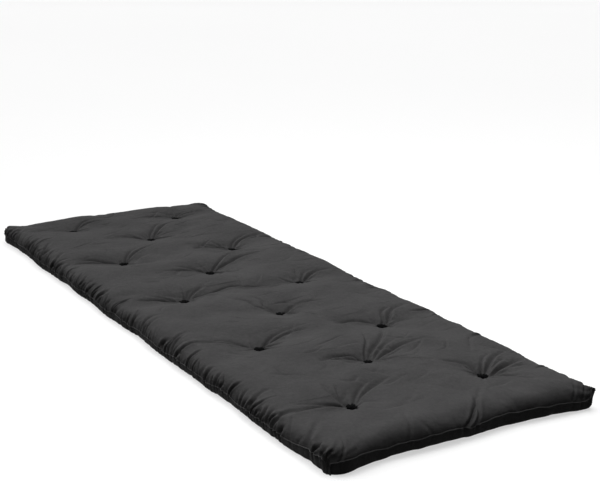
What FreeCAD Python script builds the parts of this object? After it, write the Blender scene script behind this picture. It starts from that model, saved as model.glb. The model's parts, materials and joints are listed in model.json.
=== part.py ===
import FreeCAD, Part
import os

from FreeCAD import Vector

# A thin roll-up futon mattress, flat on the floor and ready to sleep on.
#
# Frame, in millimetres: +X along the length, +Y across it, +Z up. The origin is on the
# floor under the middle of the mattress. The sleeping surface is z = THICKNESS.
#
# Two cloth panels are sewn together in one seam that runs round the edge at about half
# height. They hold three layers of wadding, and black thread tufts tie the whole
# thickness together. The mattress rolls up about its width. Cloth and wadding bend
# everywhere, so both are cut into strips across the width, each hinged to the next along
# the sleeping surface. Strip 01 is the end that stays on the floor, outside the roll.

# Driving dimensions
LENGTH = 1900.0
WIDTH = 700.0
THICKNESS = 60.0
CLOTH = 1.0

# The rounded edge as flats: distance in from the widest line, and height above the floor
SEAM_HEIGHT = 29.0
EDGE = [
    (34.0, 0.0),
    (10.0, 11.0),
    (0.0, SEAM_HEIGHT),
    (9.0, 46.0),
    (26.0, 56.0),
    (46.0, THICKNESS),
]

# Wadding: soft cotton below, a firm polyester core, soft cotton above
LAYER_HEIGHTS = [0.0, 18.0, 42.0, THICKNESS]
LAYER_GAP = 0.3

# Strips: each is STRIP_STEP longer than the one rolled up inside it
STRIP_COUNT = 14
STRIP_STEP = 13.0
HINGE_GAP = 0.4

# Tufts: nine rows along the length, the odd ones of two tufts and the even ones of one
TUFT_PITCH = 400.0
TUFT_ROWS = 9
TUFT_SIDE = 175.0
PIT_FLOOR_X = 12.0
PIT_FLOOR_Y = 22.0
PIT_SLOPE = 12.0
PIT_DEPTH_TOP = 18.0
PIT_DEPTH_BOTTOM = 9.0
THREAD = 2.5
STITCH_LENGTH = 16.0
KNOT_SIZE = 7.0
KNOT_HEIGHT = 4.0


def flat_prism(points, axis, reach):
    """A closed outline of (u, z) points, drawn out to reach on both sides of the XZ or YZ plane."""
    if axis == "Y":
        corners = [Vector(u, -reach, z) for u, z in points]
        travel = Vector(0, 2 * reach, 0)
    else:
        corners = [Vector(-reach, u, z) for u, z in points]
        travel = Vector(2 * reach, 0, 0)
    return Part.Face(Part.makePolygon(corners + corners[:1])).extrude(travel)


def crossed(end_view, side_view):
    """The solid whose outline is side_view in the XZ plane and end_view in the YZ plane."""
    return flat_prism(side_view, "Y", LENGTH).common(flat_prism(end_view, "X", LENGTH))


def edge_outline(half, skin):
    """Half the mattress's outline, mirrored: skin is how far inside the outer surface it lies."""
    squeeze = (THICKNESS - 2 * skin) / THICKNESS
    right = [(half - skin - inset, skin + height * squeeze) for inset, height in EDGE]
    left = [(-u, z) for u, z in reversed(right)]
    return right + left


def pit_outline(half_floor, depth, skin, side):
    """A tuft's pit: a trapezium open at the sleeping surface (side 1) or at the floor (side -1)."""
    face = THICKNESS if side > 0 else 0.0
    floor_half = half_floor + skin
    mouth_half = floor_half + PIT_SLOPE * (depth + skin) / depth
    floor_z = face - side * (depth + skin)
    beyond = face + side * skin
    return [
        (-floor_half, floor_z),
        (floor_half, floor_z),
        (mouth_half, face),
        (mouth_half, beyond + side),
        (-mouth_half, beyond + side),
        (-mouth_half, face),
    ]


def tuft_places():
    """Every tuft's place, from the strip 01 end: two at the sides, then one in the middle."""
    places = []
    for row in range(TUFT_ROWS):
        x = (TUFT_ROWS - 1) * TUFT_PITCH / 4 - row * TUFT_PITCH / 2
        across = [0.0] if row % 2 else [-TUFT_SIDE, TUFT_SIDE]
        places.extend((x, y) for y in across)
    return places


def pits(skin):
    """All the pits, on both faces, grown outwards by skin."""
    solids = []
    for side, depth in ((1, PIT_DEPTH_TOP), (-1, PIT_DEPTH_BOTTOM)):
        pit = crossed(
            pit_outline(PIT_FLOOR_Y / 2, depth, skin, side),
            pit_outline(PIT_FLOOR_X / 2, depth, skin, side),
        )
        solids.extend(pit.translated(Vector(x, y, 0)) for x, y in tuft_places())
    return Part.makeCompound(solids)


def mattress_body(skin):
    """The whole mattress, tufted, as one solid that lies skin inside the outer surface."""
    block = crossed(edge_outline(WIDTH / 2, skin), edge_outline(LENGTH / 2, skin))
    return block.cut(pits(skin))


def centred_box(size_x, size_y, low_z, high_z, x=0.0, y=0.0):
    """A box between two heights, centred on (x, y)."""
    corner = Vector(x - size_x / 2, y - size_y / 2, low_z)
    return Part.makeBox(size_x, size_y, high_z - low_z, corner)


def tuft(x, y):
    """One tuft: a thread down and up through the thickness, a stitch on each face, a knot on top."""
    low = PIT_DEPTH_BOTTOM
    high = THICKNESS - PIT_DEPTH_TOP
    leg_offset = (STITCH_LENGTH - THREAD) / 2
    pieces = [
        centred_box(THREAD, THREAD, low, high, x, y - leg_offset),
        centred_box(THREAD, THREAD, low, high, x, y + leg_offset),
        centred_box(THREAD, STITCH_LENGTH, low - THREAD, low, x, y),
        centred_box(KNOT_SIZE, KNOT_SIZE, high + THREAD, high + THREAD + KNOT_HEIGHT, x, y),
    ]
    upper_stitch = centred_box(THREAD, STITCH_LENGTH, high, high + THREAD, x, y)
    return upper_stitch.fuse(pieces).removeSplitter()


def strip_slabs():
    """One box per strip, from strip 01 at the +X end inwards, with a hinge gap between them."""
    shortest = LENGTH / STRIP_COUNT - STRIP_STEP * (STRIP_COUNT - 1) / 2
    edges = [LENGTH / 2]
    for index in range(STRIP_COUNT):
        strip_length = shortest + STRIP_STEP * (STRIP_COUNT - 1 - index)
        edges.append(edges[-1] - strip_length)
    # The two ends of the mattress have no neighbour to stay clear of
    edges[0] += HINGE_GAP / 2
    edges[-1] -= HINGE_GAP / 2
    slabs = []
    for high_x, low_x in zip(edges, edges[1:]):
        middle = (high_x + low_x) / 2
        slabs.append(centred_box(high_x - low_x - HINGE_GAP, 2 * WIDTH, -1, THICKNESS + 1, middle))
    return slabs


def write(shape, name):
    shape.exportStep(os.path.join("parts", name + ".step"))


def main():
    os.makedirs("parts", exist_ok=True)
    outer = mattress_body(0.0)
    inner = mattress_body(CLOTH)
    cloth = outer.cut(inner)
    upper_half = centred_box(2 * LENGTH, 2 * WIDTH, SEAM_HEIGHT, THICKNESS + 1)
    lower_half = centred_box(2 * LENGTH, 2 * WIDTH, -1, SEAM_HEIGHT)
    panels = {
        "cover_top": cloth.common(upper_half),
        "cover_bottom": cloth.common(lower_half),
    }

    tufts = [tuft(x, y) for x, y in tuft_places()]
    threads = Part.makeCompound(tufts)
    layers = []
    for low, high in zip(LAYER_HEIGHTS, LAYER_HEIGHTS[1:]):
        level = centred_box(2 * LENGTH, 2 * WIDTH, low + LAYER_GAP / 2, high - LAYER_GAP / 2)
        layers.append(inner.common(level).cut(threads))

    for number, slab in enumerate(strip_slabs(), start=1):
        for panel_name, panel in panels.items():
            write(panel.common(slab).cut(threads), f"{panel_name}_{number:02d}")
        layered = [layer.common(slab) for layer in layers]
        solids = [solid for layer in layered for solid in layer.Solids]
        write(Part.makeCompound(solids), f"wadding_{number:02d}")

    for number, thread in enumerate(tufts, start=1):
        write(thread, f"tuft_{number:02d}")


main()
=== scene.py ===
import json
import math

import bpy
import numpy as np
from mathutils import Matrix, Vector

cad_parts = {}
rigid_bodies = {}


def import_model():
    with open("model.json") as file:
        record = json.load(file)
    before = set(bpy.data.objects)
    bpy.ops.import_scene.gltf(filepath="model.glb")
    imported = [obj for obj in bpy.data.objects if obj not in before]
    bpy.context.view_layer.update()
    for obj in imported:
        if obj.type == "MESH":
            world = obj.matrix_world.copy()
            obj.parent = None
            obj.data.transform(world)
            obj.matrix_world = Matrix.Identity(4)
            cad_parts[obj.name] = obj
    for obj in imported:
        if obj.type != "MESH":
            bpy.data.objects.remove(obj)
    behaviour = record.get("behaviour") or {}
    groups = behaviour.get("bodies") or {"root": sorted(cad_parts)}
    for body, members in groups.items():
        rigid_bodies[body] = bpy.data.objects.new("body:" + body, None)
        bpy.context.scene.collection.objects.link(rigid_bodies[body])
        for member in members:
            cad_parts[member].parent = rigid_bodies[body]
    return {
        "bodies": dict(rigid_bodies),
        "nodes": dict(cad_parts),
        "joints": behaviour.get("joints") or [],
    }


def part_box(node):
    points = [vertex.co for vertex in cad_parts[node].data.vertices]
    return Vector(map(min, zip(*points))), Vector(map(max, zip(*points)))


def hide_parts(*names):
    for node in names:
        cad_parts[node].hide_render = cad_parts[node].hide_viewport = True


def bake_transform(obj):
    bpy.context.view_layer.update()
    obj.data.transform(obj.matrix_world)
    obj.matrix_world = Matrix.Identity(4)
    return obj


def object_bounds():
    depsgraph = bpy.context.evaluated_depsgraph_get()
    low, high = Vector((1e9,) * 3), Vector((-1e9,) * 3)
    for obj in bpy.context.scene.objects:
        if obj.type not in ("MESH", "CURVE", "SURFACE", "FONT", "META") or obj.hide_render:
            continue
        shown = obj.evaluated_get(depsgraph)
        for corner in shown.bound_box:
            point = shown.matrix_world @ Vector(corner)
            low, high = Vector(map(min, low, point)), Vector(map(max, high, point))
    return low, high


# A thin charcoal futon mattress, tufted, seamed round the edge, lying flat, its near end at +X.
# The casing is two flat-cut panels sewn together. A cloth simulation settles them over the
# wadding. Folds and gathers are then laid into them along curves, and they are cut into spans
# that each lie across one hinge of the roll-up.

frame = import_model()
cad_low, cad_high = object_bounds()

# ---------- places from the frame
LENGTH = cad_high.x - cad_low.x
WIDTH = cad_high.y - cad_low.y
THICKNESS = cad_high.z
SEAM_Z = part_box("cover_bottom_01")[1].z
STRIPS = sorted(frame["bodies"])
HINGES_X = [joint["pos_m"][0] for joint in frame["joints"]]
STRIP_ENDS = [cad_high.x, *HINGES_X, cad_low.x]
STRIP_MIDDLES = [(a + b) / 2 for a, b in zip(STRIP_ENDS, STRIP_ENDS[1:])]
TUFT_NODES = sorted(name for name in frame["nodes"] if name.startswith("tuft_"))
TUFTS = [sum(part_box(name), Vector()) / 2 for name in TUFT_NODES]

# ---------- the cut panels, in metres
TOP_INSET = 0.046       # how far in from the widest line the sleeping surface starts
BOTTOM_INSET = 0.010    # how far in the underside meets the floor
SPARE_RUN = 0.014       # those stretches are this much longer measured along the cloth
HALF_CUT = np.array([LENGTH, WIDTH]) / 2 + SPARE_RUN
HALF_OUT = np.array([LENGTH, WIDTH]) / 2
CELL = 0.0020           # the fine grid of the cloth; the underside takes every second line

# How the tufts pull the cloth: depth and reach of the broad dip, the cone and the pit
TOP_PULLS = [(0.0090, 0.075), (0.010, 0.024), (0.008, 0.0135)]
BOTTOM_PULLS = [(0.0020, 0.075), (0.006, 0.024), (0.003, 0.010)]
DIP_ACROSS = 1.9        # the broad dip is this much longer across the mattress than along it
CORNER_SQUARENESS = 7.0 # how fully the wadding fills the corners
STEEP_REACH = 0.080     # this near a corner the sides are steeper, by these shares of the insets
STEEPER_TOP = 0.3
STEEPER_BOTTOM = 0.8
PULL_IN = 0.006         # how far the cloth slides in towards a tuft
PULL_IN_REACH = 0.034   # the slide sets in over the first of these distances from the tuft and
SLIDE_REACH = 0.06      # fades over the second
LUMP_HEIGHT = 0.0020    # the wadding's own unevenness, and the lengths of its waves
LUMP_WAVES = [0.09, 0.13, 0.18, 0.26, 0.38]
LUMP_HEADINGS = 5       # each length of wave runs in this many directions


def bell(distance, reach, power=2):
    """From 1 at no distance down towards 0 beyond the reach."""
    return np.exp(-((distance / reach) ** power))


def smooth(share):
    """An even turn from 0 to 1, level at both."""
    share = np.clip(share, 0, 1)
    return share * share * (3 - 2 * share)


def grid_lines(stations, cell):
    """Grid lines about a cell apart, with one on every station and an even count between."""
    runs = [
        np.linspace(low, high, 2 * max(1, round((high - low) / cell / 2)), endpoint=False)
        for low, high in zip(stations, stations[1:])
    ]
    return np.concatenate([*runs, stations[-1:]])


def over_edge(cut_x, cut_y, inset):
    """Where points of the cut lie once folded over the edges, and their share of full height."""
    places, shorts = [], []
    for cut, half_cut, half_out in zip((cut_x, cut_y), HALF_CUT, HALF_OUT):
        inwards = half_cut - np.abs(cut)
        turn = np.clip(inwards / (inset + SPARE_RUN), 0, 1) * math.pi / 2
        flat = np.maximum(inwards - inset - SPARE_RUN, 0)
        places.append(np.sign(cut) * (half_out - inset * (1 - np.cos(turn)) - flat))
        shorts.append((1 - np.sin(turn)) ** CORNER_SQUARENESS)
    return *places, np.maximum(1 - sum(shorts) ** (1 / CORNER_SQUARENESS), 0)


def tuft_gaps(x, y):
    """The way from every tuft to each point, and its length, stacked one tuft after another."""
    away_x = np.stack([x - place.x for place in TUFTS])
    away_y = np.stack([y - place.y for place in TUFTS])
    return away_x, away_y, np.hypot(away_x, away_y)


def pulled_down(x, y, pulls):
    """How far the tufts pull the cloth towards the middle of the wadding."""
    away_x, away_y, gap = tuft_gaps(x, y)
    (dip, dip_reach), (cone, cone_reach), (pit, pit_reach) = pulls
    broad = bell(np.hypot(away_x, away_y / DIP_ACROSS), dip_reach)
    pull = dip * broad + cone * np.exp(-gap / cone_reach)
    return (pull + pit * bell(gap, pit_reach, 4)).sum(0)


def lumps(x, y, seed):
    """The uneven lie of the wadding: long waves in many directions."""
    draws = np.random.default_rng(seed)
    height = np.zeros_like(x)
    for wave in LUMP_WAVES:
        for _ in range(LUMP_HEADINGS):
            heading, shift = draws.uniform(0, 2 * math.pi, 2)
            along = x * math.cos(heading) + y * math.sin(heading)
            height += wave * np.sin(along * 2 * math.pi / wave + shift)
    return LUMP_HEIGHT * height / sum(LUMP_WAVES)


def laid(cut_x, cut_y, inset, height, pulls, seed):
    """One panel wrapped over a plain block of wadding, pulled down and in at the tufts."""
    x, y, rise = over_edge(cut_x, cut_y, inset)
    away_x, away_y, gap = tuft_gaps(x, y)
    slide = PULL_IN * (1 - np.exp(-gap / PULL_IN_REACH)) * np.exp(-gap / SLIDE_REACH)
    slide = slide * rise / np.maximum(gap, 1e-6)
    inward = 1 if height < SEAM_Z else -1
    z = height + inward * pulled_down(x, y, pulls) + lumps(x, y, seed)
    z = SEAM_Z + (z - SEAM_Z) * rise
    return np.stack([x - (slide * away_x).sum(0), y - (slide * away_y).sum(0), z], -1)


def laid_panels(cut_x, cut_y):
    """The top and the bottom panel before the cloth settles. The sides are steeper at corners."""
    gap = np.hypot(HALF_CUT[0] - np.abs(cut_x), HALF_CUT[1] - np.abs(cut_y))
    steep = bell(gap, STEEP_REACH)
    top_inset = TOP_INSET * (1 - STEEPER_TOP * steep)
    bottom_inset = BOTTOM_INSET * (1 - STEEPER_BOTTOM * steep)
    return (
        laid(cut_x, cut_y, top_inset, THICKNESS, TOP_PULLS, seed=3),
        laid(cut_x, cut_y, bottom_inset, 0.0, BOTTOM_PULLS, seed=4),
    )


# ---------- the cloth simulation
SIM_CELL = 0.0095
SIM_FRAMES = 20
SPARE_CLOTH = 0.010     # the cloth is cut larger than the wadding by this share
PRESSURE = 0.8
TIED_REACH = SIM_CELL * 0.75        # points this near a tuft are held fast, and all the others
WADDING_HOLD = 0.10                 # are held this lightly
BENDING = 6.0
SIM_BLUR = 0.0065       # the settled shape is smoothed by this before it is used
SIM_MOST = 0.010        # the most that settling moves a point
RIM_CALM = 0.035        # near the seam the gathers take over from the settled shape
BOTTOM_MOVE = (1, 1, 0.5)           # the underside, on the floor, settles less in height


def lattice():
    """The cut as rows of points, every other row half a cell along: (rows, y of each row)."""
    row_count = 2 * round(HALF_CUT[1] / (SIM_CELL * math.sqrt(3) / 2))
    across = np.linspace(-HALF_CUT[1], HALF_CUT[1], row_count + 1)
    even = np.linspace(-HALF_CUT[0], HALF_CUT[0], 1 + round(2 * HALF_CUT[0] / SIM_CELL))
    odd = np.concatenate([even[:1], (even[1:] + even[:-1]) / 2, even[-1:]])
    return [even if number % 2 == 0 else odd for number in range(row_count + 1)], across


def lattice_faces(starts):
    """Triangles between each row of the lattice and the next."""
    faces = []
    for number in range(len(starts) - 2):
        low, high, end = starts[number : number + 3]
        lower, upper = np.arange(low, high), np.arange(high, end)
        if len(lower) < len(upper):
            faces += [(a, b, c) for a, b, c in zip(lower, upper[1:], upper)]
            faces += [(a, b, c) for a, b, c in zip(lower, lower[1:], upper[1:])]
        else:
            faces += [(a, b, c) for a, b, c in zip(lower, lower[1:], upper)]
            faces += [(a, b, c) for a, b, c in zip(lower[1:], upper[1:], upper)]
    return np.array(faces)


def settled(points, cut, faces):
    """The points after the cloth, spare for its cut, has settled over the wadding."""
    mesh = bpy.data.meshes.new("sim")
    mesh.from_pydata(points.tolist(), [], faces.tolist())
    cloth_object = bpy.data.objects.new("sim", mesh)
    bpy.context.scene.collection.objects.link(cloth_object)
    cloth_object.shape_key_add(name="laid")
    cut_key = cloth_object.shape_key_add(name="cut")
    cut_key.data.foreach_set("co", cut.astype(np.float32).ravel())
    cut_key.value = 0.0
    group = cloth_object.vertex_groups.new(name="hold")
    tied = tuft_gaps(points[:, 0], points[:, 1])[2].min(0) < TIED_REACH
    group.add(np.nonzero(tied)[0].tolist(), 1.0, "REPLACE")
    group.add(np.nonzero(~tied)[0].tolist(), WADDING_HOLD, "REPLACE")

    settings = cloth_object.modifiers.new("Cloth", "CLOTH").settings
    settings.quality = 5
    settings.mass = 0.05
    settings.air_damping = 1.0
    settings.tension_stiffness = 20.0
    settings.compression_stiffness = 20.0
    settings.bending_stiffness = BENDING
    settings.vertex_group_mass = "hold"
    settings.pin_stiffness = 1.0
    settings.rest_shape_key = cut_key
    settings.shrink_min = -SPARE_CLOTH
    settings.use_pressure = True
    settings.uniform_pressure_force = PRESSURE
    settings.effector_weights.gravity = 0.0

    scene = bpy.context.scene
    for number in range(1, SIM_FRAMES + 1):
        scene.frame_set(number)
    evaluated = cloth_object.evaluated_get(bpy.context.evaluated_depsgraph_get())
    result = np.zeros(len(points) * 3, np.float32)
    evaluated.data.vertices.foreach_get("co", result)
    scene.frame_set(1)
    bpy.data.objects.remove(cloth_object)
    return result.reshape(-1, 3).astype(float)


def read_smoothly(values, places, lines):
    """Values known at some places along the first axis, read off along a smooth curve."""
    slope = np.gradient(values, places, axis=0)
    cell = np.clip(np.searchsorted(places, lines) - 1, 0, len(places) - 2)
    shape = (-1,) + (1,) * (values.ndim - 1)
    width = (places[cell + 1] - places[cell]).reshape(shape)
    t = (lines - places[cell]).reshape(shape) / width
    from_start = values[cell] * (1 + 2 * t) + slope[cell] * width * t
    from_end = values[cell + 1] * (3 - 2 * t) + slope[cell + 1] * width * (t - 1)
    return from_start * (1 - t) ** 2 + from_end * t**2


def blurred(values, reach):
    """A grid of values smoothed by a distance in metres: each pass mixes in both neighbours."""
    for axis in (0, 1):
        for _ in range(round(2 * (reach / CELL) ** 2)):
            last = np.take(values, [-1], axis)
            after = np.concatenate([np.delete(values, 0, axis), last], axis)
            before = np.concatenate([np.take(values, [0], axis), np.delete(values, -1, axis)], axis)
            values = values / 2 + after / 4 + before / 4
    return values


def settling(x_lines, y_lines):
    """How far each point of the two fine grids moves as the cloth settles."""
    rows, across = lattice()
    starts = np.cumsum([0] + [len(row) for row in rows])
    cut_x = np.concatenate(rows)
    cut_y = np.repeat(across, [len(row) for row in rows])
    top, bottom = laid_panels(cut_x, cut_y)
    rim = (np.abs(cut_x) > HALF_CUT[0] - 1e-6) | (np.abs(cut_y) > HALF_CUT[1] - 1e-6)
    lower_index = np.where(rim, np.arange(len(rim)), len(rim) + np.cumsum(~rim) - 1)
    points = np.concatenate([top, bottom[~rim]])
    cut = np.stack([cut_x, cut_y, np.zeros_like(cut_x)], -1)
    cut = np.concatenate([cut, cut[~rim]])
    upper_faces = lattice_faces(starts)
    faces = np.concatenate([upper_faces, lower_index[upper_faces][:, ::-1]])
    result = settled(points, cut, faces)

    inwards = np.minimum(
        HALF_CUT[0] - np.abs(x_lines)[:, None], HALF_CUT[1] - np.abs(y_lines)[None, :]
    )
    calm = 1 - bell(inwards, RIM_CALM)
    moves = []
    for move in (result[: len(rim)] - top, result[lower_index] - bottom):
        read = [
            read_smoothly(move[start:end], row, x_lines)
            for row, start, end in zip(rows, starts, starts[1:])
        ]
        move = read_smoothly(np.stack(read), across, y_lines).transpose(1, 0, 2)
        move = blurred(move, SIM_BLUR)
        size = np.linalg.norm(move, axis=-1, keepdims=True)
        moves.append(move * calm[..., None] / (1 + size / SIM_MOST))
    return moves


# ---------- folds laid along curves
LEAN = np.array([-0.86, 0.51])      # folds are open on the side that this points to
PATH_STEPS = 20
PROFILE_WIDTHS = 4                  # a fold has died out this many widths to either side


def curve_through(points):
    """A smooth path through a few points."""
    points = np.array(points, float)
    if len(points) == 2:
        points = np.array([points[0], points.mean(0), points[1]])
    run = np.r_[0, np.cumsum(np.hypot(*np.diff(points, axis=0).T))]
    return read_smoothly(points, run, np.linspace(0, run[-1], PATH_STEPS + 1))


def fold_profile(across, width, lean):
    """A fold seen end on: a groove, open on the leaning side, with a raised lip on the other."""
    open_side = np.maximum(across * lean, 0) / width
    lip_side = np.maximum(-across * lean, 0) / width
    groove = 0.60 * bell(open_side, 0.90) + 0.40 * np.exp(-open_side / 2.4)
    groove *= bell(lip_side, 0.55)
    return 0.07 * bell(lip_side - 1.4, 0.8) * (lip_side > 0) - groove


def crease_profile(across, width, lean):
    """A pinched crease seen end on: a narrow groove between soft shoulders, whatever the lean."""
    groove = bell(across, 0.6 * width)
    shoulders = np.exp(-((np.abs(across) / width - 1.3) ** 2) / 0.5)
    return 0.22 * shoulders - groove


def lay(height, lines, points, depth, width, profile, strength, growth=0.0):
    """Lays one fold into a height field. strength gives its share of full depth along the way,
    and growth how much wider it is at its far end."""
    path = curve_through(points)
    edge = PROFILE_WIDTHS * width * (1 + growth)
    low, high = path.min(0) - edge, path.max(0) + edge
    window = tuple(slice(*np.searchsorted(l, (a, b))) for l, a, b in zip(lines, low, high))
    at = np.stack(np.meshgrid(lines[0][window[0]], lines[1][window[1]], indexing="ij"), -1)
    if at.size == 0:
        return
    starts, steps = path[:-1, None, None], np.diff(path, axis=0)[:, None, None]
    gap = at[None] - starts
    t = np.clip((gap * steps).sum(-1) / (steps**2).sum(-1), 0, 1)
    gap = gap - t[..., None] * steps
    distance = np.hypot(gap[..., 0], gap[..., 1])
    nearest = distance.argmin(0)[None]
    along = (nearest + np.take_along_axis(t, nearest, 0))[0] / PATH_STEPS
    step = steps[nearest[0], 0, 0]
    gap = np.take_along_axis(gap, nearest[..., None], 0)[0]
    side = np.sign(step[..., 0] * gap[..., 1] - step[..., 1] * gap[..., 0])
    across = side * np.take_along_axis(distance, nearest, 0)[0]
    heading = path[-1] - path[0]
    lean = 1.0 if heading[0] * LEAN[1] - heading[1] * LEAN[0] > 0 else -1.0
    spread = width * (1 + growth * along)
    height[window] += depth * strength(along) * profile(across, spread, lean)


def from_tuft(along):
    """Deepest near the tuft, fading out."""
    return np.minimum(along / 0.10, 1) * (1 - along) ** 0.9


def between_tufts(along):
    """Deep at both ends, shallow between."""
    ends = np.minimum(along / 0.06, 1) * np.minimum((1 - along) / 0.06, 1)
    return ends * (1 - 2.0 * along * (1 - along))


def free_fold(along):
    """Fading out at both ends."""
    return np.sin(math.pi * along) ** 1.2


def from_seam(along):
    """Slight in the seam, full soon after it, fading out."""
    return (0.35 + 0.65 * np.minimum(along / 0.25, 1)) * (1 - along) ** 1.1


# Folds that start at a tuft: its number, then the fold's way from it, in metres
LONG_FOLDS = [
    (1, (-0.017, -0.045), (-0.016, -0.082), (-0.011, -0.156)),
    (1, (-0.027, -0.004), (-0.064, -0.012), (-0.114, -0.007)),
    (1, (-0.026, 0.036), (-0.058, 0.095), (-0.076, 0.148)),
    (2, (-0.037, -0.006), (-0.070, -0.016), (-0.100, -0.051)),
    (2, (-0.037, 0.045), (-0.076, 0.103), (-0.083, 0.144)),
    (2, (-0.012, 0.049), (-0.019, 0.092), (-0.020, 0.134)),
    (2, (0.022, 0.038), (0.047, 0.061), (0.078, 0.080)),
    (3, (-0.038, 0.032), (-0.106, 0.113), (-0.155, 0.149)),
    (3, (-0.018, 0.061), (-0.039, 0.129), (-0.042, 0.184)),
    (3, (0.021, 0.034), (0.051, 0.069), (0.095, 0.119)),
    (3, (-0.018, -0.037), (-0.029, -0.071), (-0.037, -0.116)),
    (3, (-0.038, -0.014), (-0.047, -0.056), (-0.038, -0.108)),
    (4, (-0.022, 0.050), (-0.038, 0.098), (-0.033, 0.154)),
    (4, (-0.033, -0.044), (-0.061, -0.097), (-0.060, -0.136)),
    (5, (-0.022, 0.035), (-0.065, 0.079), (-0.070, 0.124)),
    (5, (-0.024, -0.024), (-0.045, -0.066), (-0.040, -0.116)),
    (6, (-0.030, -0.017), (-0.060, -0.044), (-0.092, -0.046), (-0.126, -0.078)),
    (6, (-0.019, 0.045), (-0.026, 0.101), (-0.010, 0.144)),
    (6, (0.025, 0.026), (0.062, 0.043), (0.110, 0.054)),
    (7, (-0.034, 0.036), (-0.055, 0.069), (-0.060, 0.094)),
    (7, (-0.018, -0.035), (-0.031, -0.068), (-0.040, -0.126)),
    (8, (-0.025, 0.039), (-0.050, 0.089), (-0.040, 0.134)),
    (9, (-0.043, 0.084), (-0.081, 0.161), (-0.095, 0.265)),
    (9, (-0.022, -0.029), (-0.038, -0.067), (-0.050, -0.126)),
    (10, (-0.051, 0.053), (-0.088, 0.113), (-0.100, 0.154)),
    (10, (-0.024, -0.058), (-0.044, -0.106), (-0.040, -0.156)),
    (11, (-0.051, 0.057), (-0.071, 0.133), (-0.070, 0.159)),
    (11, (-0.010, -0.045), (-0.020, -0.090), (-0.010, -0.126)),
    (12, (-0.065, 0.056), (-0.103, 0.106), (-0.120, 0.164)),
    (12, (-0.022, -0.045), (-0.035, -0.096), (-0.030, -0.146)),
    (13, (-0.030, 0.054), (-0.045, 0.114), (-0.040, 0.154)),
    (13, (-0.020, -0.056), (-0.025, -0.106), (-0.020, -0.146)),
    (14, (-0.030, 0.044), (-0.040, 0.094), (-0.030, 0.134)),
    (14, (-0.011, -0.055), (-0.020, -0.106), (-0.010, -0.156)),
]
LONG_WIDTH = 0.0066
# Beside each of those folds lies a weaker one, turned between these angles and this much shorter
ECHO_TURN = (0.20, 0.34)
ECHO_LENGTH = 0.8
ECHO_WIDTH = 0.0048
# The one fold that runs all the way from one tuft to another
JOINING_FOLD = (7, 8, [(-0.010, 0.045), (-0.018, 0.089), (-0.030, 0.150), (-0.006, 0.228)])
JOINING_SHARE = 1.3
# The short pleats round every tuft. Those that point well against LEAN have a share of the depth
PLEAT_WIDTH = 0.0036
PLEAT_FRONT = -0.45
PLEAT_FRONT_SHARE = 0.25


def turned(way, angle):
    """A step turned by an angle."""
    turn = np.array([(math.cos(angle), math.sin(angle)), (-math.sin(angle), math.cos(angle))])
    return np.array(way) @ turn


def bent_line(start, heading, bend, reach):
    """Three points of a line that starts in one direction and ends in another."""
    ahead, aside = (np.array([math.cos(angle), math.sin(angle)]) for angle in (heading, bend))
    return [start, start + ahead * reach / 2, start + (ahead + aside) * reach / 2]


def tuft_folds(height, lines, depth, seed, by_hand):
    """Folds at the tufts: those listed, and short pleats round each, faint in front."""
    draws = np.random.default_rng(seed)
    if by_hand:
        for number, *way in LONG_FOLDS:
            start = np.array(TUFTS[number - 1][:2])
            points = [start, *(start + step for step in way)]
            share = draws.uniform(0.75, 1.25)
            lay(height, lines, points, depth * share, LONG_WIDTH, fold_profile, from_tuft, growth=0.3)
            turn = math.copysign(draws.uniform(*ECHO_TURN), np.cross(way[-1], LEAN))
            points = [start, *(start + ECHO_LENGTH * turned(step, turn) for step in way)]
            share *= draws.uniform(0.35, 0.65)
            lay(height, lines, points, depth * share, ECHO_WIDTH, fold_profile, from_tuft, growth=0.3)
        first, last, way = JOINING_FOLD
        start, end = (np.array(TUFTS[number - 1][:2]) for number in (first, last))
        points = [start, *(start + step for step in way), end]
        lay(height, lines, points, depth * JOINING_SHARE, LONG_WIDTH, fold_profile, between_tufts)
    for place in TUFTS:
        start = np.array(place[:2])
        count = draws.integers(8, 12)
        turn = draws.uniform(0, 2 * math.pi)
        for number in range(count):
            heading = turn + (number + draws.uniform(-0.3, 0.3)) * 2 * math.pi / count
            reach = draws.uniform(0.030, 0.085)
            points = bent_line(start, heading, heading + draws.uniform(-0.35, 0.35), reach)
            in_front = math.cos(heading) * LEAN[0] + math.sin(heading) * LEAN[1] <= PLEAT_FRONT
            share = draws.uniform(0.10, 0.35) * (PLEAT_FRONT_SHARE if in_front else 1)
            lay(height, lines, points, depth * share, PLEAT_WIDTH, crease_profile, from_tuft, growth=1.2)


DRIFTING_MARGIN = 0.06  # no drifting fold starts nearer the edge than this


def drifting_folds(height, lines, depth, count, seed):
    """Long faint folds that start nowhere in particular."""
    draws = np.random.default_rng(seed)
    for _ in range(count):
        start = draws.uniform(-1, 1, 2) * (HALF_OUT - DRIFTING_MARGIN)
        heading = draws.normal(math.pi / 2, 0.5)
        reach = draws.uniform(0.05, 0.14)
        points = bent_line(start, heading, heading + draws.normal(0, 0.5), reach)
        width = draws.uniform(0.0035, 0.0090)
        lay(height, lines, points, depth * draws.uniform(0.3, 1), width, fold_profile, free_fold)


STRONG_GATHERS = 0.55   # the share of gathers that are deep
GATHER_SPACING = 0.014  # the spacing at which gathers have the widths below


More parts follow.
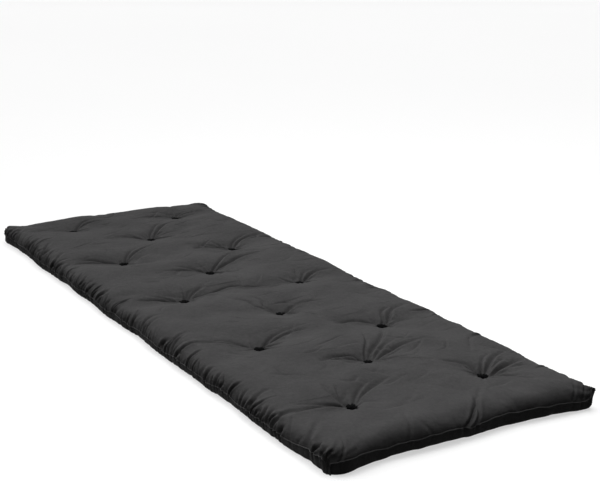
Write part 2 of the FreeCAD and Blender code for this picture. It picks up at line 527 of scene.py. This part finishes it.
def seam_gathers(height, lines, axis, spacing, depth, reach, seed):
    """Gathers from the seam over the edge, along both edges that run along an axis."""
    draws = np.random.default_rng(seed)
    other = 1 - axis
    for edge in (-HALF_CUT[other], HALF_CUT[other]):
        place = -HALF_CUT[axis] + draws.uniform(0.4, 1) * spacing
        while place < HALF_CUT[axis] - 0.4 * spacing:
            strong = draws.random() < STRONG_GATHERS
            length = reach * draws.uniform(0.40, 0.9) * draws.choice([1, 1, 1, 2])
            slant = length * draws.normal(0, 0.40)
            points = np.zeros((3, 2))
            points[:, axis] = place + slant * np.array([0, 0.35, 1])
            points[:, other] = edge - np.sign(edge) * length * np.array([0, 0.5, 1])
            width = draws.uniform(0.0030, 0.0065) * spacing / GATHER_SPACING
            share = draws.uniform(0.8, 1.3) if strong else draws.uniform(0.1, 0.6)
            lay(height, lines, points, depth * share, width, crease_profile, from_seam, growth=0.8)
            place += spacing * draws.uniform(0.45, 1.0) * draws.choice([0.7, 1, 1.4, 2.6])


CORNER_PLEAT_HEADINGS = (0.12, 0.34, 0.62, 0.88, 1.15, 1.42)
CORNER_PLEAT_START = 0.006
CORNER_PLEAT_WIDTH = 0.0045


def corner_pleats(height, lines, depth, seed):
    """Pleats fanning in from each corner."""
    draws = np.random.default_rng(seed)
    for side_x in (-1, 1):
        for side_y in (-1, 1):
            corner = HALF_CUT * (side_x, side_y)
            for heading in CORNER_PLEAT_HEADINGS:
                heading += draws.normal(0, 0.06)
                way = -np.array([side_x * math.cos(heading), side_y * math.sin(heading)])
                reach = draws.uniform(0.075, 0.12)
                points = [corner + way * run for run in (CORNER_PLEAT_START, reach / 2, reach)]
                share, width = draws.uniform(0.5, 1.1), CORNER_PLEAT_WIDTH
                lay(height, lines, points, depth * share, width, crease_profile, from_tuft, growth=1.2)


# ---------- seam line and corners
# How the seam wanders up and down, and the edges in and out: lengths and heights of waves, and
# how far in from the rim they are felt
SEAM_WAVES = [(0.043, 0.0006), (0.071, 0.0009), (0.118, 0.0014), (0.19, 0.0018)]
EDGE_WAVES = [(0.16, 0.0012), (0.27, 0.0016), (0.43, 0.0018)]
SEAM_WAVE_REACH = 0.022
EDGE_WAVE_REACH = 0.080
END_WAVE_SHARE = 0.4    # the two short ends wander in and out less
# Each corner: which one, how far it splays out and the reach of that along and across the
# mattress, how far its ear is pulled from there and the reach of that, and how far its tip is
# drawn in along and across, which makes it blunt, and the reach of that
CORNERS = [
    ((1, -1), (0.024, 0.0), (0.080, 0.095), (0.016, 0.008, -0.027), 0.017, (0.040, 0.006), 0.036),
    ((1, 1), (0.021, -0.006), (0.090, 0.190), (0.004, -0.003, 0.029), 0.024, (0.002, 0.002), 0.013),
    ((-1, -1), (0.0, 0.0), (0.090, 0.190), (0.004, 0.003, 0.004), 0.024, (0.010, 0.010), 0.013),
    ((-1, 1), (0.0, 0.0), (0.090, 0.190), (0.006, -0.005, -0.002), 0.024, (0.007, 0.007), 0.013),
]
SIDE_SAG = -0.008       # the seam runs lower along the -Y side, between its ends
SIDE_SAG_ENDS = 0.22
END_SAG = -0.011        # and it drops along the +X end, shortly before the +Y corner
END_SAG_AT = 0.330
END_SAG_REACH = 0.050
END_BULGE = (0.023, 0.006)          # how far the +X end bulges out in its -Y and in its +Y half
END_BULGE_TURN = (-0.04, 0.16)      # the one becomes the other between these places across
END_BULGE_REACH = 0.115


def wandering(lines, waves, draws):
    """A line's sideways wander: waves of set lengths and heights."""
    return sum(
        height * np.sin(lines * 2 * math.pi / wave + draws.uniform(0, 2 * math.pi))
        for wave, height in waves
    )


def seam_and_corners(points, lines, seed):
    """Lets the seam and the edges wander and sag, bulges the near end, splays the corners and
    pulls out their ears."""
    draws = np.random.default_rng(seed)
    cut = np.meshgrid(*lines, indexing="ij")
    inwards = [half - np.abs(place) for half, place in zip(HALF_CUT, cut)]
    for axis in (0, 1):
        near = np.exp(-inwards[1 - axis] / SEAM_WAVE_REACH)
        near_edge = bell(inwards[1 - axis], EDGE_WAVE_REACH)
        for side in (-1, 1):
            here = np.sign(cut[1 - axis]) == side
            points[..., 2] += wandering(cut[axis], SEAM_WAVES, draws) * near * here
            if (axis, side) == (0, -1):
                points[..., 2] += SIDE_SAG * np.minimum(inwards[0] / SIDE_SAG_ENDS, 1) * near * here
            if (axis, side) == (1, 1):
                points[..., 2] += END_SAG * bell(cut[1] - END_SAG_AT, END_SAG_REACH) * near * here
            wander = wandering(cut[axis], EDGE_WAVES, draws) * near_edge * here
            points[..., 1 - axis] += wander * (1 if axis == 0 else END_WAVE_SHARE)
    turn = (cut[1] - END_BULGE_TURN[0]) / (END_BULGE_TURN[1] - END_BULGE_TURN[0])
    bulge = END_BULGE[0] + (END_BULGE[1] - END_BULGE[0]) * smooth(turn)
    points[..., 0] += bulge * bell(inwards[0], END_BULGE_REACH, 4) * (cut[0] > 0)
    for (side_x, side_y), splay, splay_reach, pull, ear_reach, drawn_in, tip_reach in CORNERS:
        here = (np.sign(cut[0]) == side_x) & (np.sign(cut[1]) == side_y)
        away = np.hypot(inwards[0] / splay_reach[0], inwards[1] / splay_reach[1])
        points[..., :2] += (bell(away, 1) * here)[..., None] * splay
        ear = bell(np.hypot(*inwards), ear_reach, 3) * here
        tip = bell(np.hypot(*inwards), tip_reach) * here
        points += ear[..., None] * pull
        points[..., 0] -= side_x * drawn_in[0] * tip
        points[..., 1] -= side_y * drawn_in[1] * tip


def surface_normals(points):
    """The upward normal at every point of a grid."""
    along, across = np.gradient(points, axis=0), np.gradient(points, axis=1)
    normals = np.cross(along, across)
    return normals / np.linalg.norm(normals, axis=-1, keepdims=True)


RIM_REACH = 0.010


def meet_at_rim(top, bottom, lines):
    """Moves the bottom panel's edge onto the top panel's, fading out inwards."""
    for axis in (1, 0):
        near = np.exp(-(lines[axis] - lines[axis][0]) / RIM_REACH)
        for end, share in ((0, near), (-1, near[::-1])):
            gap = np.take(top, [end], axis) - np.take(bottom, [end], axis)
            share = share[None, :, None] if axis == 1 else share[:, None, None]
            bottom += gap * share


def onto_cut_planes(points, x_lines, columns, reach=0.024):
    """Moves the columns where spans meet onto their own planes, easing the cloth beside them."""
    for column in columns:
        off = points[column, :, 0] - x_lines[column]
        away = np.clip(np.abs(x_lines - x_lines[column]) / reach, 0, 1)
        points[..., 0] -= off[None, :] * (0.5 + 0.5 * np.cos(math.pi * away))[:, None]


PUCKER_WIDTH = 0.0550   # as a share of its length
# The strong puckers in the near end's edge, ridges where the depth is less than nothing: where
# across the end, how far across for each metre inwards, how deep and how long
END_PUCKERS = [
    (-0.010, 1.20, 0.0110, 0.110),
    (0.004, 1.00, -0.0030, 0.090),
    (0.023, 0.60, 0.0090, 0.095),
    (-0.150, 0.40, 0.0030, 0.110),
    (-0.322, 0.55, 0.0040, 0.070),
    (0.288, 0.60, 0.0030, 0.075),
    (0.315, 0.60, 0.0055, 0.070),
    (0.335, 0.60, 0.0045, 0.060),
]
FOLD_MOST = 0.024       # folds that meet at a tuft get no deeper than this together
FLOOR_EASE = 0.0016     # nothing reaches below the floor, and what nears it flattens this softly


def finished_panels(lines, columns):
    """The two panels as they lie, with everything in them."""
    cut_x, cut_y = np.meshgrid(*lines, indexing="ij")
    top, bottom = laid_panels(cut_x, cut_y)
    top_move, bottom_move = settling(*lines)
    top += top_move
    bottom += bottom_move * BOTTOM_MOVE

    height = np.zeros_like(cut_x)
    tuft_folds(height, lines, depth=0.0290, seed=11, by_hand=True)
    drifting_folds(height, lines, depth=0.0042, count=160, seed=12)
    seam_gathers(height, lines, 0, spacing=0.013, depth=0.0115, reach=0.052, seed=13)
    seam_gathers(height, lines, 1, spacing=0.030, depth=0.0022, reach=0.060, seed=14)
    corner_pleats(height, lines, depth=0.0028, seed=15)
    for place, slant, depth, length in END_PUCKERS:
        points = [(HALF_CUT[0] - way, place + way * slant) for way in (0, length / 2, length)]
        width = PUCKER_WIDTH * length
        lay(height, lines, points, depth, width, crease_profile, from_seam, growth=0.5)
    height = np.where(height < 0, FOLD_MOST * np.expm1(np.minimum(height, 0) / FOLD_MOST), height)
    top += surface_normals(top) * height[..., None]

    height = np.zeros_like(cut_x)
    tuft_folds(height, lines, depth=0.0020, seed=21, by_hand=False)
    drifting_folds(height, lines, depth=0.0008, count=60, seed=22)
    seam_gathers(height, lines, 0, spacing=0.017, depth=0.0024, reach=0.055, seed=23)
    seam_gathers(height, lines, 1, spacing=0.036, depth=0.0014, reach=0.050, seed=24)
    corner_pleats(height, lines, depth=0.0020, seed=25)
    bottom -= surface_normals(bottom) * height[..., None]

    for points in (top, bottom):
        seam_and_corners(points, lines, seed=31)
    meet_at_rim(top, bottom, lines)
    for points in (top, bottom):
        onto_cut_planes(points, lines[0], columns)
        lift = points[..., 2]
        points[..., 2] = (lift + np.sqrt(lift**2 + FLOOR_EASE**2)) / 2
    return top, bottom


# ---------- materials
def node(tree, kind, inputs=(), **settings):
    """A new shader node with its settings, and inputs as (socket, value or output socket)."""
    made = tree.nodes.new(kind)
    for name, value in settings.items():
        setattr(made, name, value)
    for socket, value in inputs:
        if isinstance(value, bpy.types.NodeSocket):
            tree.links.new(value, made.inputs[socket])
        else:
            made.inputs[socket].default_value = value
    return made


def stretched(tree, source, scale):
    """The source's coordinates scaled by three numbers."""
    return node(tree, "ShaderNodeMapping", [("Vector", source), ("Scale", scale)]).outputs[0]


def noise(tree, where, scale, detail=3.0, roughness=0.5):
    """A noise pattern's factor."""
    inputs = [("Vector", where), ("Scale", scale), ("Detail", detail), ("Roughness", roughness)]
    return node(tree, "ShaderNodeTexNoise", inputs).outputs["Fac"]


def math_of(tree, operation, first, second):
    """A maths node's output."""
    return node(tree, "ShaderNodeMath", [(0, first), (1, second)], operation=operation).outputs[0]


def mapped(tree, value, source, target):
    """A value carried from one range to another."""
    inputs = [("Value", value), ("From Min", source[0]), ("From Max", source[1])]
    inputs += [("To Min", target[0]), ("To Max", target[1])]
    return node(tree, "ShaderNodeMapRange", inputs).outputs[0]


def bumps(tree, height, strength, distance, under=None):
    """A surface normal with bumps, over those of another one where it is given."""
    inputs = [("Height", height), ("Strength", strength), ("Distance", distance)]
    inputs += [("Normal", under)] if under else []
    return node(tree, "ShaderNodeBump", inputs).outputs[0]


def ramped(tree, factor, dark, light, start=0.0, end=1.0):
    """A colour that goes from dark to light as the factor goes from start to end."""
    ramp = node(tree, "ShaderNodeValToRGB", [("Fac", factor)])
    for element, place, colour in zip(ramp.color_ramp.elements, (start, end), (dark, light)):
        element.position = place
        element.color = (*colour, 1)
    return ramp.outputs["Color"]


def set_inputs(shader, values):
    """Sets plain values of a shader."""
    for name, value in values.items():
        shader.inputs[name].default_value = value


def new_material(name):
    """A node material with its tree and its main shader."""
    material = bpy.data.materials.new(name)
    material.use_nodes = True
    return material, material.node_tree, material.node_tree.nodes["Principled BSDF"]


THREAD_PITCH = 0.0011   # one thread of the weave to the next
WAVE_SCALE = 0.05 * 2 * math.pi     # a wave texture of this scale has one wave to the metre


def cloth_material():
    """Charcoal plain-woven cotton: threads, slubs, faint clouds of colour and a trace of sheen."""
    material, tree, shader = new_material("charcoal_cotton")
    uv = node(tree, "ShaderNodeUVMap").outputs[0]
    ribs = []
    for direction in ("X", "Y"):
        inputs = [("Vector", uv), ("Scale", WAVE_SCALE / THREAD_PITCH), ("Distortion", 0.4)]
        wave = node(tree, "ShaderNodeTexWave", inputs, bands_direction=direction)
        ribs.append(wave.outputs["Fac"])
    weave = math_of(tree, "MULTIPLY", *ribs)
    warp = noise(tree, stretched(tree, uv, (30, 900, 1)), 1.0, 2.0)
    weft = noise(tree, stretched(tree, uv, (900, 30, 1)), 1.0, 2.0)
    slubs = math_of(tree, "ADD", warp, weft)
    clouds = noise(tree, uv, 7.0, 4.0, 0.6)
    crumple = noise(tree, uv, 38.0, 5.0, 0.55)
    mottle = noise(tree, uv, 120.0, 4.0, 0.6)

    fine = math_of(tree, "ADD", slubs, math_of(tree, "MULTIPLY", mottle, 1.6))
    coarse = math_of(tree, "MULTIPLY", clouds, 0.4)
    tone = math_of(tree, "ADD", math_of(tree, "MULTIPLY", fine, 0.16), coarse)
    dark, light = (0.029, 0.0286, 0.029), (0.0555, 0.0545, 0.055)
    tree.links.new(ramped(tree, tone, dark, light, 0.30, 0.66), shader.inputs["Base Color"])

    soft = bumps(tree, crumple, 0.8, 0.0040)
    threads = bumps(tree, math_of(tree, "ADD", weave, slubs), 0.45, 0.0002, soft)
    tree.links.new(threads, shader.inputs["Normal"])
    rough = mapped(tree, slubs, (0.6, 1.4), (0.82, 0.96))
    tree.links.new(rough, shader.inputs["Roughness"])
    set_inputs(shader, {"Specular IOR Level": 0.06, "Sheen Weight": 0.015})
    set_inputs(shader, {"Sheen Roughness": 0.45, "Sheen Tint": (0.85, 0.85, 0.88, 1)})
    return material


def thread_material():
    """Dull black cotton thread with fine fibres. In the tufts' cut ends it also stands for painted shade
    deep in the pits.
    """
    material, tree, shader = new_material("black_thread")
    where = node(tree, "ShaderNodeTexCoord").outputs["Object"]
    fibres = noise(tree, where, 900.0, 3.0)
    colour = ramped(tree, fibres, (0.0015, 0.0015, 0.0015), (0.006, 0.006, 0.0065))
    tree.links.new(colour, shader.inputs["Base Color"])
    tree.links.new(bumps(tree, fibres, 0.6, 0.0003), shader.inputs["Normal"])
    set_inputs(shader, {"Roughness": 0.9, "Specular IOR Level": 0.04})
    return material


def floor_material():
    """A plain pale floor. It glows a little, which keeps the shadows on it faint."""
    material, tree, shader = new_material("pale_floor")
    where = node(tree, "ShaderNodeTexCoord").outputs["Object"]
    patches = noise(tree, where, 0.4, 2.0)
    colour = ramped(tree, patches, (0.42, 0.42, 0.42), (0.44, 0.44, 0.44))
    tree.links.new(colour, shader.inputs["Base Color"])
    set_inputs(shader, {"Roughness": 1.0, "Specular IOR Level": 0.0})
    set_inputs(shader, {"Emission Color": (1, 1, 1, 1), "Emission Strength": 0.55})
    return material


# ---------- meshes
def new_piece(name, vertices, faces, material, normals=None, uvs=None):
    """A smooth mesh object, with its own normals and cloth coordinates where they are given."""
    mesh = bpy.data.meshes.new(name)
    mesh.from_pydata(vertices.tolist(), [], faces.tolist())
    mesh.materials.append(material)
    mesh.shade_smooth()
    if uvs is not None:
        layer = mesh.uv_layers.new(name="cloth")
        layer.data.foreach_set("uv", uvs[faces.ravel()].astype(np.float32).ravel())
    if normals is not None:
        mesh.normals_split_custom_set_from_vertices(normals.tolist())
    piece = bpy.data.objects.new(name, mesh)
    bpy.context.scene.collection.objects.link(piece)
    return piece


def grid_faces(rows, columns):
    """Quads of a grid of points, wound to face up when both axes run forwards."""
    index = np.arange(rows * columns).reshape(rows, columns)
    corners = (index[:-1, :-1], index[1:, :-1], index[1:, 1:], index[:-1, 1:])
    return np.stack([corner.ravel() for corner in corners], -1)


UNDERSIDE_UV = 3        # the underside's and the seam's cloth coordinates start this many metres
SEAM_UV = 6             # away from the top's


def panel_piece(name, points, normals, lines, columns, material, stride, upward):
    """The part of a panel between two columns of its grid."""
    part = (slice(columns[0], columns[1] + 1, stride), slice(None, None, stride))
    shape = points[part].shape
    faces = grid_faces(*shape[:2])
    cut = np.stack(np.meshgrid(*lines, indexing="ij"), -1)[part]
    return new_piece(
        name,
        points[part].reshape(-1, 3),
        faces if upward else faces[:, ::-1],
        material,
        normals[part].reshape(-1, 3) * (1 if upward else -1),
        cut.reshape(-1, 2) + (0 if upward else UNDERSIDE_UV),
    )


# The seam's lip, seen end on: how far out and how far up, first over the top and then under it
LIP_SIZE = 0.0016
LIP_TOP = [(-2.0, 0.9), (0.2, 0.8), (1.1, 0.55)]
LIP = LIP_SIZE * np.array([*LIP_TOP, (1.45, 0), *((out, -up) for out, up in reversed(LIP_TOP))])
LIP_LOWEST = 0.0002     # it stays clear of the floor by this
OUT_SMOOTHING = 6       # rounds of smoothing that turn the way out evenly round the corners


def rim_loop(points):
    """The rim's points once round, the way out from each, and each one's column."""
    count_x, count_y = points.shape[:2]
    sides = [
        ([(i, 0) for i in range(count_x - 1)], (0, -1)),
        ([(count_x - 1, j) for j in range(count_y - 1)], (1, 0)),
        ([(i, count_y - 1) for i in range(count_x - 1, 0, -1)], (0, 1)),
        ([(0, j) for j in range(count_y - 1, 0, -1)], (-1, 0)),
    ]
    index = np.array([pair for side, _ in sides for pair in side])
    out = np.array([way for side, way in sides for _ in side], float)
    for _ in range(OUT_SMOOTHING):
        out = (np.roll(out, 1, 0) + out + np.roll(out, -1, 0)) / 3
    out /= np.linalg.norm(out, axis=1, keepdims=True)
    return points[index[:, 0], index[:, 1]], out, index[:, 0]


def seam_piece(name, rim, columns, material):
    """The lip of the seam between two columns of the grid, as one or two swept strips."""
    places, out, at_column = rim
    inside = (at_column >= columns[0]) & (at_column <= columns[1])
    starts = np.nonzero(inside & ~np.roll(inside, 1))[0]
    vertices, faces, uvs = [], [], []
    for start in starts:
        run = [start]
        while inside[(run[-1] + 1) % len(inside)]:
            run.append((run[-1] + 1) % len(inside))
        ring = np.zeros((len(run), len(LIP), 3))
        ring[..., :2] = places[run][:, None, :2] + out[run][:, None] * LIP[None, :, :1]
        ring[..., 2] = places[run][:, None, 2] + LIP[None, :, 1]
        ring[..., 2] = np.maximum(ring[..., 2], LIP_LOWEST)
        length = np.r_[0, np.cumsum(np.linalg.norm(np.diff(places[run], axis=0), axis=1))]
        around = np.r_[0, np.cumsum(np.linalg.norm(np.diff(LIP, axis=0), axis=1))]
        faces.append(grid_faces(len(run), len(LIP))[:, ::-1] + sum(len(v) for v in vertices))
        vertices.append(ring.reshape(-1, 3))
        uv = np.stack(np.meshgrid(length, around + SEAM_UV, indexing="ij"), -1)
        uvs.append(uv.reshape(-1, 2))
    vertices, faces, uvs = (np.concatenate(parts) for parts in (vertices, faces, uvs))
    return new_piece(name, vertices, faces, material, uvs=uvs)


# ---------- tufts
STITCH = 0.016          # the length of the stitches, and how strongly the upper one arches
STITCH_ARCH = 0.020
THREAD = 0.0013         # radius of the thread, and of one of its cut ends
STRAND = 0.0009
# The cut ends fan out this far and fill the pit: real black thread, and also a dark stand-in for the
# deep shade inside the pit
TUFT_RADIUS = 0.0130
TUFT_STANDS_OUT = 0.0040
STRANDS = 140           # cut ends of thread in one tuft
STRAND_STEPS = 6
GOLDEN_TURN = math.pi * (3 - math.sqrt(5))
KNOTS = [(0.0026, 0.0, 0.0062), (0.0050, 0.001, 0.0050)]    # height, place along the stitch, size
RIM_OF_PIT = (0.014, 0.017)         # the pit's rim lies between these distances from the tuft


def tube(path, radius, sides=7):
    """A closed-ended tube along a path: (vertices, faces as quads)."""
    ahead = np.gradient(path, axis=0)
    ahead /= np.linalg.norm(ahead, axis=1, keepdims=True)
    aside = np.cross(ahead[0], (0.3, 0.2, 0.9) if abs(ahead[0][2]) < 0.8 else (1, 0.1, 0.1))
    turn = np.linspace(0, 2 * math.pi, sides, endpoint=False)
    rings = [np.repeat(path[:1], sides, 0)]
    for place, way in zip(path, ahead):
        aside = aside - way * (aside @ way)
        aside = aside / np.linalg.norm(aside)
        around = np.outer(np.cos(turn), aside) + np.outer(np.sin(turn), np.cross(way, aside))
        rings.append(place + radius * around)
    rings.append(np.repeat(path[-1:], sides, 0))
    index = np.arange(len(rings) * sides).reshape(-1, sides)
    after = np.roll(index, -1, 1)
    faces = np.stack([index[:-1], after[:-1], after[1:], index[1:]], -1)
    return np.concatenate(rings), faces.reshape(-1, 4)


def knot_path(middle, size):
    """An overhand knot pulled small."""
    turn = np.linspace(0, 2 * math.pi, 40)
    x = np.sin(turn) + 2 * np.sin(2 * turn)
    y = np.cos(turn) - 2 * np.cos(2 * turn)
    z = -np.sin(3 * turn)
    return np.array(middle) + size / 6 * np.stack([x, y, 0.8 * z], -1)


def tuft_piece(name, place, top_z, rim_z, bottom_z, draws, material):
    """One tuft: the shank through the wadding, a stitch each side, knots and cut ends of thread.
    The ends stand up out of the pit to just over its rim and fill it: black thread, and also a
    dark stand-in painted in for the deep shade inside the pit."""
    heading = draws.uniform(0.9, 2.2)
    ahead = np.array([math.cos(heading), math.sin(heading), 0])
    top = np.array([place.x, place.y, top_z + THREAD * 0.6])
    low = np.array([place.x, place.y, bottom_z - THREAD * 0.3])
    along = np.linspace(-0.5, 0.5, 9)[:, None]
    rise = np.array([0, 0, 1.0])
    paths = [
        (np.linspace(low, top, 6), THREAD),
        (top + ahead * STITCH * along + rise * STITCH_ARCH * np.abs(along) ** 1.6, THREAD),
        (low + ahead * STITCH * along, THREAD),
    ]
    paths += [(knot_path(top + rise * up + ahead * out, size), THREAD) for up, out, size in KNOTS]
    for number in range(STRANDS):
        turn = number * GOLDEN_TURN + draws.uniform(-0.2, 0.2)
        share = (number + 1) / STRANDS
        length = TUFT_RADIUS * math.sqrt(share) * draws.uniform(0.85, 1.08)
        height = (rim_z - top_z) * draws.uniform(0.85, 1.0) + TUFT_STANDS_OUT
        way = np.array([math.cos(turn), math.sin(turn), 0])
        t = np.linspace(0, 1, STRAND_STEPS)[:, None]
        curl = np.array([-way[1], way[0], 0]) * draws.normal(0, 0.25)
        path = top + length * (way * t + curl * t**2) + rise * height * t * (1.7 - 0.7 * t)
        paths.append((path, STRAND))
    vertices, faces, count = [], [], 0
    for path, radius in paths:
        points, quads = tube(path, radius)
        vertices.append(points)
        faces.append(quads + count)
        count += len(points)
    return new_piece(name, np.concatenate(vertices), np.concatenate(faces), material)


# ---------- camera and light
CAMERA_AZIMUTH = math.radians(58.88)
CAMERA_ELEVATION = math.radians(15.40)
CAMERA_ROLL = math.radians(0.88)
CAMERA_DISTANCE = 3.980
CAMERA_LENS = 76.02
LOOKED_AT = Vector((cad_low.x * 0.449, cad_high.y * 1.235, THICKNESS / 2))


def make_camera():
    """The camera, looking from beyond the near end's -Y corner."""
    level = math.cos(CAMERA_ELEVATION)
    aside, back_y = math.sin(CAMERA_AZIMUTH) * level, -math.cos(CAMERA_AZIMUTH) * level
    back = Vector((aside, back_y, math.sin(CAMERA_ELEVATION)))
    right = Vector((0, 0, 1)).cross(back).normalized()
    up = back.cross(right)
    turn = Matrix((right, up, back)).transposed().to_4x4() @ Matrix.Rotation(CAMERA_ROLL, 4, "Z")
    data = bpy.data.cameras.new("camera")
    data.sensor_width = 36.0
    data.lens = CAMERA_LENS
    data.clip_end = 200.0
    camera = bpy.data.objects.new("camera", data)
    camera.matrix_world = Matrix.Translation(LOOKED_AT + back * CAMERA_DISTANCE) @ turn
    bpy.context.scene.collection.objects.link(camera)
    bpy.context.scene.camera = camera


KEY_STRENGTH = 3.32
KEY_SPREAD = math.radians(85)
KEY_FROM = Vector((-0.80, -0.18, 1.0))
SOFTBOX_STRENGTH = 26.0
SOFTBOX_SIZE = 1.6
SOFTBOX_AT = Vector((0.50, 0.5, 2.2))
FILL_STRENGTH = 0.13


def make_light():
    """A broad soft light from above the far end, a softbox over the near end, and a weak fill
    from above in a studio that is itself seen as plain white."""
    data = bpy.data.lights.new("key", "SUN")
    data.energy = KEY_STRENGTH
    data.angle = KEY_SPREAD
    key = bpy.data.objects.new("key", data)
    key.rotation_mode = "QUATERNION"
    key.rotation_quaternion = KEY_FROM.to_track_quat("Z", "Y")
    bpy.context.scene.collection.objects.link(key)

    data = bpy.data.lights.new("softbox", "AREA")
    data.energy = SOFTBOX_STRENGTH
    data.size = SOFTBOX_SIZE
    softbox = bpy.data.objects.new("softbox", data)
    softbox.location = SOFTBOX_AT
    bpy.context.scene.collection.objects.link(softbox)

    world = bpy.data.worlds.new("studio")
    world.use_nodes = True
    tree = world.node_tree
    direction = node(tree, "ShaderNodeTexCoord").outputs["Generated"]
    height = node(tree, "ShaderNodeSeparateXYZ", [("Vector", direction)]).outputs["Z"]
    fill = mapped(tree, height, (-0.1, 0.2), (0.0, FILL_STRENGTH))
    seen = node(tree, "ShaderNodeLightPath").outputs["Is Camera Ray"]
    background = tree.nodes["Background"].inputs
    tree.links.new(math_of(tree, "MAXIMUM", fill, seen), background["Strength"])
    background["Color"].default_value = (1, 1, 1, 1)
    bpy.context.scene.world = world


FLOOR_SIZE = 120.0
FLOOR_Z = -0.0005


def make_floor():
    """The floor, a hair below the mattress. It throws no light back up at it."""
    signs = [(-1, -1), (1, -1), (1, 1), (-1, 1)]
    corners = np.array([(x * FLOOR_SIZE / 2, y * FLOOR_SIZE / 2, FLOOR_Z) for x, y in signs])
    floor = new_piece("floor", corners, np.array([(0, 1, 2, 3)]), floor_material())
    floor.visible_diffuse = False


# ---------- assembly
def declare(piece, nodes=()):
    """Bakes a piece's place into its mesh and hides the CAD nodes that it stands for."""
    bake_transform(piece)
    if nodes:
        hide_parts(*nodes)


def nodes_of(kind, span):
    """The CAD nodes of one kind that a span stands for: one, and the last span the last two."""
    spans = len(STRIPS) - 1
    return [f"{kind}_{number:02d}" for number in ([span, span + 1] if span == spans else [span])]


def build():
    """Everything of the object."""
    cuts = STRIP_MIDDLES[1:-1]
    stations_x = sorted([-HALF_CUT[0], HALF_CUT[0], *cuts])
    lines = (grid_lines(stations_x, CELL), grid_lines([-HALF_CUT[1], 0.0, HALF_CUT[1]], CELL))
    columns = [int(np.abs(lines[0] - station).argmin()) for station in stations_x]
    top, bottom = finished_panels(lines, columns[1:-1])
    top_normals, bottom_normals = surface_normals(top), surface_normals(bottom)
    rim = rim_loop(top)
    cloth, thread = cloth_material(), thread_material()
    spans = len(STRIPS) - 1
    for span in range(1, spans + 1):
        part = columns[spans - span], columns[spans - span + 1]
        name = f"cover_top_span_{span:02d}"
        piece = panel_piece(name, top, top_normals, lines, part, cloth, stride=1, upward=True)
        declare(piece, nodes_of("cover_top", span) + nodes_of("wadding", span))
        name = f"cover_bottom_span_{span:02d}"
        piece = panel_piece(name, bottom, bottom_normals, lines, part, cloth, stride=2, upward=False)
        declare(piece, nodes_of("cover_bottom", span))
        piece = seam_piece(f"seam_span_{span:02d}", rim, part, cloth)
        declare(piece)
    draws = np.random.default_rng(41)
    for name, place in zip(TUFT_NODES, TUFTS):
        gap = np.hypot(top[..., 0] - place.x, top[..., 1] - place.y)
        middle = np.unravel_index(gap.argmin(), gap.shape)
        rim_z = top[(gap > RIM_OF_PIT[0]) & (gap < RIM_OF_PIT[1]), 2].mean()
        heights = top[middle][2], rim_z, bottom[middle][2]
        piece = tuft_piece(f"{name}_thread", place, *heights, draws, thread)
        span = 1 + sum(place.x < cut for cut in cuts)
        declare(piece, [name])


build()
make_floor()
make_light()
make_camera()
bpy.context.scene.view_settings.view_transform = "Standard"
bpy.context.view_layer.update()
